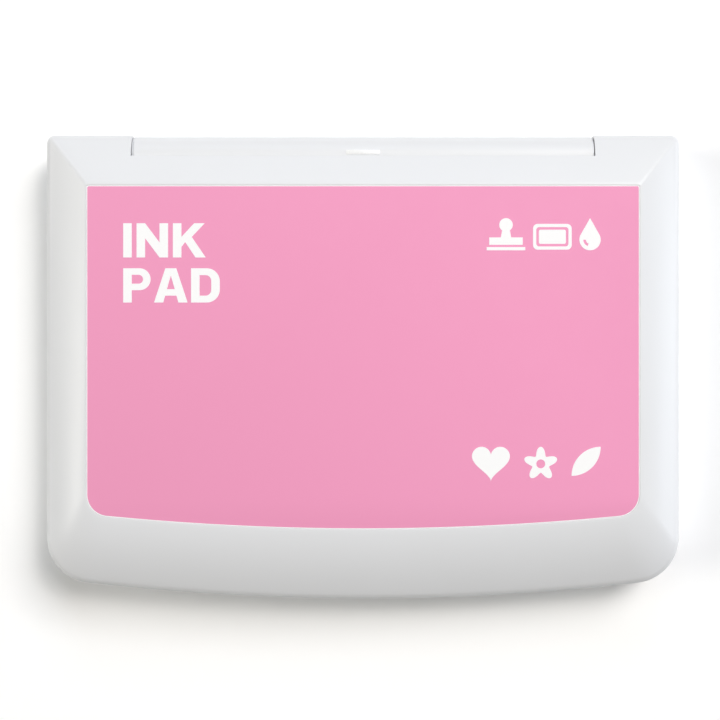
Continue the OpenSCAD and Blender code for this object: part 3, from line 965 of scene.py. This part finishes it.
TRAY_CORNER = 5 * MM
TRAY_WALL = 3.8 * MM  # from the flange's edge to the inside of the tray, and the clamping frame's width
FLANGE_REACH = 2 * MM  # how far the flange stands out from the tray's wall
SIDE_BOW = 0.25 * MM  # how far a slab's sides draw in at top and bottom
SLAB_SLACK = 0.1 * MM  # between a slab and the room that the frame gives it
COVER_CORNER = 1.6 * MM  # radius of the pad's flat top at its corners
COVER_GAP = 0.1 * MM  # between the hem's edge and the room that the frame gives it
CLOTH_SHOWN = 0.3 * MM  # thickness of the cloth under its outer face
HEM_TURN = 0.5 * MM  # radius that the cover turns outwards on at the foot of the pad's side
PLEAT_DEPTH, PLEATS = 0.16 * MM, 18  # PLEATS is how many would go round a full turn
RIPPLE_DEPTH = 0.03 * MM
FRAME_CORNER = 6.7 * MM
NEARLY_ZERO = 1e-6  # metres


def box_outline(low, high, inset, radius):
    """A rounded rectangle as wide and deep as a frame node, made smaller all round by an inset."""
    return rounded_outline(
        (high.x - low.x) / 2 - inset, (high.y - low.y) / 2 - inset, max(radius - inset, 0.2 * MM), MIDDLE_Y,
    )


def cartridge_tray():
    """The tray: up its outside, out under the flange, over it and down the inside to the floor."""
    low, high = TRAY_LOW, TRAY_HIGH
    soft, out, inner = 0.25 * MM, FLANGE_REACH, TRAY_WALL
    steps = (
        (out + 0.6 * MM, low.z), (out + 0.15 * MM, low.z + 0.15 * MM), (out, low.z + 0.6 * MM),
        (out, DECK_Z), (soft, DECK_Z), (0, DECK_Z + soft),
        (0, high.z - soft), (0.3 * soft, high.z - 0.3 * soft), (soft, high.z),
        (inner - soft, high.z), (inner - 0.3 * soft, high.z - 0.3 * soft), (inner, high.z - soft),
        (inner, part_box("reservoir_felt")[0].z),
    )
    return loft("cartridge_tray", [level(box_outline(low, high, i, TRAY_CORNER), z) for i, z in steps])


def soft_slab(name, node, radius):
    """A slab whose sides draw in at top and bottom, on a half circle: at a turn t the side lies in by
    1 - sin t of the bow, and its height is -cos t of half the thickness, from the middle."""
    low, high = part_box(node)
    middle_z, half_z = (low.z + high.z) / 2, (high.z - low.z) / 2
    rings = []
    for t in np.linspace(0, math.pi, 13):
        outline = box_outline(low, high, SIDE_BOW * (1 - math.sin(t)) + SLAB_SLACK, radius)
        rings.append(level(outline, middle_z - half_z * math.cos(t)))
    return loft(name, rings)


def cover_depth(past, cushion, side):
    """Where cloth that lies a distance past the pad's flat top ends up: (how far out, how far down).
    It turns a quarter circle over the edge, runs straight down the side, turns a small quarter circle
    outwards and lies flat as the hem."""
    edge, foot = cushion.edge, HEM_TURN
    over, under = edge * math.pi / 2, foot * math.pi / 2
    drop = side - edge - foot
    a = np.clip(past, 0, over) / edge
    b = np.clip(past - over, 0, drop)
    c = np.clip(past - over - drop, 0, under) / foot
    d = np.clip(past - over - drop - under, 0, None)
    out = edge * np.sin(a) + foot * (1 - np.cos(c)) + d
    down = edge * (1 - np.cos(a)) + b + foot * np.sin(c)
    return out, down


def cover_surface(cushion, columns=221, rows=137):
    """The woven cover's outer face as a grid on the flat cloth, and the cloth's own coordinates. Cloth inside
    the pad's rounded rectangle lies on top, crowned by the product of two parabolas to the power 0.6 and very
    slightly rippled. Cloth outside it is carried over the edge along the outward direction, and the spare
    cloth at the corners gathers in pleats, which are a sine of the turn round the corner."""
    half_w = FOAM_HIGH.x + cushion.cloth - cushion.edge
    half_d = (FOAM_HIGH.y - FOAM_LOW.y) / 2 + cushion.cloth - cushion.edge
    side = COVER_HIGH.z - COVER_LOW.z - cushion.cloth
    turns = cushion.edge + HEM_TURN
    hem = COVER_HIGH.x - half_w - turns - COVER_GAP
    spare = turns * math.pi / 2 + side - turns + hem
    u = np.linspace(-half_w - spare, half_w + spare, columns)
    v = np.linspace(-half_d - spare, half_d + spare, rows)
    u, v = np.meshgrid(u, v)
    core_u = np.clip(u, COVER_CORNER - half_w, half_w - COVER_CORNER)
    core_v = np.clip(v, COVER_CORNER - half_d, half_d - COVER_CORNER)
    out_u, out_v = u - core_u, v - core_v
    away = np.maximum(np.hypot(out_u, out_v), NEARLY_ZERO)
    past = np.clip(away - COVER_CORNER, 0, spare)
    out, down = cover_depth(past, cushion, side)
    in_corner = (np.abs(out_u) > NEARLY_ZERO) & (np.abs(out_v) > NEARLY_ZERO)
    turn = np.arctan2(np.abs(out_v), np.abs(out_u))
    pleat = PLEAT_DEPTH * np.sin(turn * PLEATS) * np.sin(2 * turn) * np.clip(past / MM, 0, 1) * in_corner
    distance = np.where(away > COVER_CORNER, COVER_CORNER + out + pleat, away)
    x = core_u + out_u / away * distance
    y = core_v + out_v / away * distance + MIDDLE_Y
    dome = np.clip(1 - (u / half_w) ** 2, 0, 1) * np.clip(1 - (v / half_d) ** 2, 0, 1)
    ripple = np.sin(u / MM * 0.55 + 1.3) * np.sin(v / MM * 0.7) * np.clip(dome * 4, 0, 1)
    z = COVER_HIGH.z - down + cushion.crown * dome ** 0.6 + RIPPLE_DEPTH * ripple
    return np.stack((x, y, z), axis=-1), np.stack((u, v), axis=-1)


def woven_cover(cushion):
    """The stretched cover, and the size of the flat cloth that it is cut from."""
    surface, flat = cover_surface(cushion)
    faces = quads(*surface.shape[:2], wrap_columns=False)
    cover = mesh_piece("woven_cover", surface.reshape(-1, 3), faces, uv=flat.reshape(-1, 2))
    cover.data.shade_smooth()
    cloth = cover.modifiers.new("cloth", "SOLIDIFY")
    cloth.thickness = CLOTH_SHOWN
    cloth.offset = -1
    width, depth = flat[-1, -1] - flat[0, 0]
    return cover, (float(width), float(depth))


def clamp_frame():
    """The clamping frame, closed round its own cross-section: from the lip that hides the hem's edge, up the
    outside, over the top and down the inside to the foot."""
    low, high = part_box("pad_frame")
    soft, slope, wide = 0.35 * MM, 0.2 * MM, TRAY_WALL
    lean = 0.05 * MM
    lip, lip_z = 0.5 * MM, TRAY_HIGH.z + 0.02 * MM
    section = (
        (lip, low.z), (lip, lip_z), (0.1 * MM, lip_z), (0, lip_z + 0.1 * MM), (lean, high.z - soft),
        (0.3 * soft + lean, high.z - 0.3 * soft), (soft + lean, high.z),
        (wide - soft - slope, high.z), (wide - 0.3 * soft - slope, high.z - 0.3 * soft),
        (wide - 0.8 * slope, high.z - soft), (wide, low.z + 0.2 * MM), (wide - 0.1 * MM, low.z),
    )
    rings = [level(box_outline(low, high, i, FRAME_CORNER), z) for i, z in section]
    return loft("clamp_frame", rings, closed=True)


class INKPAD_OT_cartridge(bpy.types.Operator):
    """Builds the cartridge: tray, felt reservoir, foam, stretched cover and clamping frame"""

    bl_idname = "inkpad.cartridge"
    bl_label = "Cartridge"

    def execute(self, context):
        case, cushion = context.scene.inkpad_case, context.scene.inkpad_cushion
        plastic = moulded_abs("polypropylene_tray", case.tray, 0.45)
        place(cartridge_tray(), "base", "tray_plastic", plastic, "insert_tray")

        felt = inked_pores("pressed_felt", "#D97FA3", 0.25 * MM)
        foam = inked_pores("open_cell_foam", "#E58BB0", 0.5 * MM)
        for name, node, finish, slot, radius in (
            ("felt_slab", "reservoir_felt", felt, "felt", 2.4 * MM),
            ("foam_slab", "ink_foam", foam, "foam", 2 * MM),
        ):
            slab = soft_slab(name, node, radius)
            place(slab, "base", slot, finish, node)

        cover, size = woven_cover(cushion)
        cotton = inked_cotton("inked_cotton", cushion.colour, cushion.thread)
        place(cover, "base", "cover_fabric", cotton, "pad_fabric", sharp=None)

        plastic = moulded_abs("abs_clamp_frame", case.plastic, 0.4)
        place(clamp_frame(), "base", "case_plastic", plastic, "pad_frame", sharp=50)
        return {"FINISHED"}


# ---------------------------------------------------------------- the stage


FLOOR_HALF = 8.0  # metres, far enough for the floor to fill a low view
LIGHTS_AIM = (0, 0, 10 * MM)

# Each soft light's name, place and side in metres, power in watts, and tint
LIGHTS = (
    ("key", (0.9, 0.9, 3.1), 0.75, 30.8, "#FFFAF5"),
    ("rear_right", (0.75, 0.875, 1.625), 0.75, 15.9, "#FFFEFE"),
    ("mid_right", (1.375, 0.125, 1.25), 0.75, 2.0, "#FFFCF3"),
    ("low_right", (1.5, 0.125, 0.3), 0.5, 7.2, "#F0F7FF"),
    ("mid_rear", (0.0, 1.375, 1.25), 0.75, 5.1, "#DBEAFF"),
    ("mid_left", (-1.375, 0.0, 1.125), 0.75, 13.1, "#FFFDF5"),
)


def area_light(name, spot, side, power, tint):
    """A square soft light at a spot, turned towards the lights' aim and tinted by an sRGB hex value."""
    lamp = bpy.data.lights.new(name, "AREA")
    lamp.shape = "SQUARE"
    lamp.size = side
    lamp.energy = power
    lamp.color = linear(tint)[:3]
    light = show(name, lamp)
    light.location = spot
    x, y, z = np.asarray(LIGHTS_AIM) - np.asarray(spot)
    light.rotation_euler = (math.atan2(math.hypot(x, y), -z), 0, math.atan2(y, x) - math.pi / 2)


class INKPAD_OT_stage(bpy.types.Operator):
    """Builds the pale floor, the soft lights and the camera straight above"""

    bl_idname = "inkpad.stage"
    bl_label = "Stage"

    def execute(self, context):
        stage = context.scene.inkpad_stage
        corners = [(FLOOR_HALF * x, FLOOR_HALF * y, 0) for x, y in ((-1, -1), (1, -1), (1, 1), (-1, 1))]
        floor = mesh_piece("floor", corners, [[0, 1, 2, 3]])
        floor.data.materials.append(seamless_paper("seamless_paper", stage.floor_glow))
        for light in LIGHTS:
            area_light(*light)
        world = bpy.data.worlds.new("studio")
        world.use_nodes = True
        background = world.node_tree.nodes["Background"]
        background.inputs["Color"].default_value = linear("#FFFFFF")
        background.inputs["Strength"].default_value = stage.ambient
        context.scene.world = world
        lens = bpy.data.cameras.new("camera")
        lens.lens = stage.lens
        lens.sensor_width = 36
        lens.clip_start = 10 * MM
        camera = show("camera", lens)
        camera.location = (stage.camera_x, stage.camera_y, TOP_Z + stage.camera_height)
        context.scene.camera = camera
        context.scene.view_settings.view_transform = "Standard"
        return {"FINISHED"}


# ---------------------------------------------------------------- panel and registration

OPERATORS = (
    INKPAD_OT_lid, INKPAD_OT_label, INKPAD_OT_base, INKPAD_OT_fittings, INKPAD_OT_cartridge, INKPAD_OT_stage,
)
SETTINGS = {
    "inkpad_lid": InkPadLidSettings,
    "inkpad_label": InkPadLabelSettings,
    "inkpad_case": InkPadCaseSettings,
    "inkpad_cushion": InkPadCushionSettings,
    "inkpad_stage": InkPadStageSettings,
}


class INKPAD_PT_panel(bpy.types.Panel):
    bl_idname = "INKPAD_PT_panel"
    bl_label = "Ink pad"
    bl_space_type = "VIEW_3D"
    bl_region_type = "UI"
    bl_category = "Ink pad"

    def draw(self, context):
        for operator in OPERATORS:
            self.layout.operator(operator.bl_idname)


def register():
    for item in (*SETTINGS.values(), *OPERATORS, INKPAD_PT_panel):
        bpy.utils.register_class(item)
    for name, group in SETTINGS.items():
        setattr(bpy.types.Scene, name, bpy.props.PointerProperty(type=group))


def unregister():
    for name in SETTINGS:
        delattr(bpy.types.Scene, name)
    for item in (INKPAD_PT_panel, *OPERATORS[::-1], *list(SETTINGS.values())[::-1]):
        bpy.utils.unregister_class(item)


def main():
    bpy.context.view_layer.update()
    register()
    bpy.ops.inkpad.stage()
    bpy.ops.inkpad.lid()
    bpy.ops.inkpad.label()
    bpy.ops.inkpad.base()
    bpy.ops.inkpad.fittings()
    bpy.ops.inkpad.cartridge()


if __name__ == "__main__":
    main()
